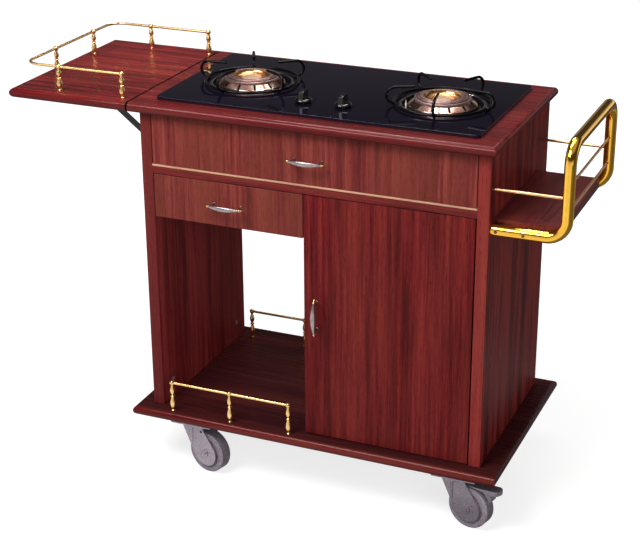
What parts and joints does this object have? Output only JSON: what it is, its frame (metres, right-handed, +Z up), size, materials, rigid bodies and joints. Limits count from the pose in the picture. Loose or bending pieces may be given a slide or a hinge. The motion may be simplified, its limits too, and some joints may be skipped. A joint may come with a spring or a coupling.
{
  "type": "flambe trolley",
  "caption": "Cabinet trolley on castors with a gas hob, folding leaf with gallery, drawers, cupboard, open bay and a bottle rack with push handle.",
  "frame": {"origin": "on the floor under the middle of the outline with the leaf up", "axes": "+X towards the bottle rack and push handle, +Y towards the back, +Z up"},
  "size_m": [1.2876, 0.51, 0.947],
  "materials": {
    "mahogany_laminate": "satin laminate with a dark mahogany grain",
    "drawer_wood": "plain plywood",
    "polished_brass": "polished and lacquered",
    "valve_brass": "as forged",
    "satin_steel": "satin, with brass coloured ends",
    "zinc_steel": "zinc plated",
    "black_steel": "black coat",
    "black_enamel": "gloss black enamel",
    "black_glass": "polished, opaque black",
    "pan_chrome": "polished",
    "burner_bronze": "polished bronze colour",
    "igniter_ceramic": "white ceramic",
    "knob_black": "gloss black",
    "castor_grey": "grey coat",
    "castor_rubber": "grey, matt",
    "catch_plastic": "white",
    "cap_plastic": "grey"
  },
  "bodies": {
    "root": {"base_board": "mahogany_laminate", "end_panel_left": "mahogany_laminate", "end_panel_right": "mahogany_laminate", "divider_panel": "mahogany_laminate", "drawer_rail": "mahogany_laminate", "top_rails": "mahogany_laminate", "back_panel": "mahogany_laminate", "worktop": "mahogany_laminate", "rack_shelf": "mahogany_laminate", "gold_strip": "polished_brass", "door_pivots": "zinc_steel", "door_catch": "catch_plastic", "drawer_runners": "zinc_steel", "deck_balusters": "polished_brass", "deck_rails": "polished_brass", "leaf_hinge_fixed": "polished_brass", "brace_plates": "black_steel", "rack_tube": "polished_brass", "rack_rods": "polished_brass", "fixing_screws": "zinc_steel", "cover_caps": "cap_plastic", "hob_glass": "black_glass", "hob_tray": "zinc_steel", "drip_pans": "pan_chrome", "burner_bodies": "burner_bronze", "burner_caps": "burner_bronze", "igniters": "igniter_ceramic", "gas_valves": "valve_brass", "gas_manifold": "zinc_steel", "castor_plates": "castor_grey"},
    "door": {"door": "mahogany_laminate", "door_handle": "satin_steel"},
    "upper_drawer": {"upper_drawer_front": "mahogany_laminate", "upper_drawer_box": "drawer_wood", "upper_drawer_handle": "satin_steel"},
    "lower_drawer": {"lower_drawer_front": "mahogany_laminate", "lower_drawer_box": "drawer_wood", "lower_drawer_handle": "satin_steel"},
    "leaf": {"leaf_board": "mahogany_laminate", "leaf_balusters": "polished_brass", "leaf_rail": "polished_brass", "leaf_hinge_moving": "polished_brass", "brace_guides": "black_steel"},
    "braces": {"leaf_braces": "black_steel"},
    "support_left": {"pan_support_left": "black_enamel"},
    "support_right": {"pan_support_right": "black_enamel"},
    "stem_left": {"valve_stem_left": "zinc_steel"},
    "stem_right": {"valve_stem_right": "zinc_steel"},
    "knob_left_body": {"knob_left": "knob_black"},
    "knob_right_body": {"knob_right": "knob_black"},
    "castor_front_left": {"castor_fork_front_left": "castor_grey"},
    "wheel_front_left": {"castor_wheel_front_left": "castor_rubber"},
    "castor_front_right": {"castor_fork_front_right": "castor_grey"},
    "wheel_front_right": {"castor_wheel_front_right": "castor_rubber"},
    "castor_rear_left": {"castor_fork_rear_left": "castor_grey"},
    "wheel_rear_left": {"castor_wheel_rear_left": "castor_rubber"},
    "castor_rear_right": {"castor_fork_rear_right": "castor_grey"},
    "wheel_rear_right": {"castor_wheel_rear_right": "castor_rubber"},
    "pedal_front_right": {"brake_pedal_front_right": "castor_grey"},
    "pedal_rear_left": {"brake_pedal_rear_left": "castor_grey"}
  },
  "joints": [
    {"name": "leaf_fold", "type": "hinge", "parent": "root", "child": "leaf", "pos_m": [-0.3455, 0, 0.8615], "axis": [0, -1, 0], "range_deg": [0, 90]},
    {"name": "brace_fold", "type": "hinge", "parent": "root", "child": "braces", "pos_m": [-0.3342, 0, 0.792], "axis": [0, -1, 0], "range_deg": [0, 124.5]},
    {"name": "upper_drawer_slide", "type": "slide", "parent": "root", "child": "upper_drawer", "axis": [0, -1, 0], "range_m": [0, 0.28]},
    {"name": "lower_drawer_slide", "type": "slide", "parent": "root", "child": "lower_drawer", "axis": [0, -1, 0], "range_m": [0, 0.28]},
    {"name": "door_swing", "type": "hinge", "parent": "root", "child": "door", "pos_m": [0.4408, -0.215, 0.439], "axis": [0, 0, 1], "range_deg": [0, 105]},
    {"name": "support_left_lift", "type": "slide", "parent": "root", "child": "support_left", "axis": [0, 0, 1], "range_m": [0, 0.08]},
    {"name": "knob_left_push", "type": "slide", "parent": "root", "child": "stem_left", "axis": [0, 0, -1], "range_m": [0, 0.003], "stiffness_N_per_m": 1500, "springref_m": -0.002},
    {"name": "knob_left_turn", "type": "hinge", "parent": "stem_left", "child": "knob_left_body", "pos_m": [0.0203, -0.117, 0.899], "axis": [0, 0, 1], "range_deg": [0, 180]},
    {"name": "support_right_lift", "type": "slide", "parent": "root", "child": "support_right", "axis": [0, 0, 1], "range_m": [0, 0.08]},
    {"name": "knob_right_push", "type": "slide", "parent": "root", "child": "stem_right", "axis": [0, 0, -1], "range_m": [0, 0.003], "stiffness_N_per_m": 1500, "springref_m": -0.002},
    {"name": "knob_right_turn", "type": "hinge", "parent": "stem_right", "child": "knob_right_body", "pos_m": [0.1123, -0.117, 0.899], "axis": [0, 0, 1], "range_deg": [0, 180]},
    {"name": "swivel_front_left", "type": "hinge", "parent": "root", "child": "castor_front_left", "pos_m": [-0.2182, -0.207, 0.115], "axis": [0, 0, 1], "continuous": true},
    {"name": "roll_front_left", "type": "hinge", "parent": "castor_front_left", "child": "wheel_front_left", "pos_m": [-0.18327, -0.21571, 0.05], "axis": [0.2419, 0.9703, 0], "continuous": true},
    {"name": "swivel_front_right", "type": "hinge", "parent": "root", "child": "castor_front_right", "pos_m": [0.4228, -0.207, 0.115], "axis": [0, 0, 1], "continuous": true},
    {"name": "roll_front_right", "type": "hinge", "parent": "castor_front_right", "child": "wheel_front_right", "pos_m": [0.45773, -0.21571, 0.05], "axis": [0.2419, 0.9703, 0], "continuous": true},
    {"name": "swivel_rear_left", "type": "hinge", "parent": "root", "child": "castor_rear_left", "pos_m": [-0.2182, 0.207, 0.115], "axis": [0, 0, 1], "continuous": true},
    {"name": "roll_rear_left", "type": "hinge", "parent": "castor_rear_left", "child": "wheel_rear_left", "pos_m": [-0.25341, 0.21448, 0.05], "axis": [-0.2079, -0.9781, 0], "continuous": true},
    {"name": "swivel_rear_right", "type": "hinge", "parent": "root", "child": "castor_rear_right", "pos_m": [0.4228, 0.207, 0.115], "axis": [0, 0, 1], "continuous": true},
    {"name": "roll_rear_right", "type": "hinge", "parent": "castor_rear_right", "child": "wheel_rear_right", "pos_m": [0.38759, 0.21448, 0.05], "axis": [-0.2079, -0.9781, 0], "continuous": true},
    {"name": "brake_front_right", "type": "hinge", "parent": "castor_front_right", "child": "pedal_front_right", "pos_m": [0.44803, -0.21329, 0.103], "axis": [0.2419, 0.9703, 0], "range_deg": [0, 8]},
    {"name": "brake_rear_left", "type": "hinge", "parent": "castor_rear_left", "child": "pedal_rear_left", "pos_m": [-0.24363, 0.21241, 0.103], "axis": [-0.2079, -0.9781, 0], "range_deg": [0, 8]}
  ],
  "couplings": [
    {"joint": "brace_fold", "follows": "leaf_fold", "ratio": 1.3778}
  ]
}
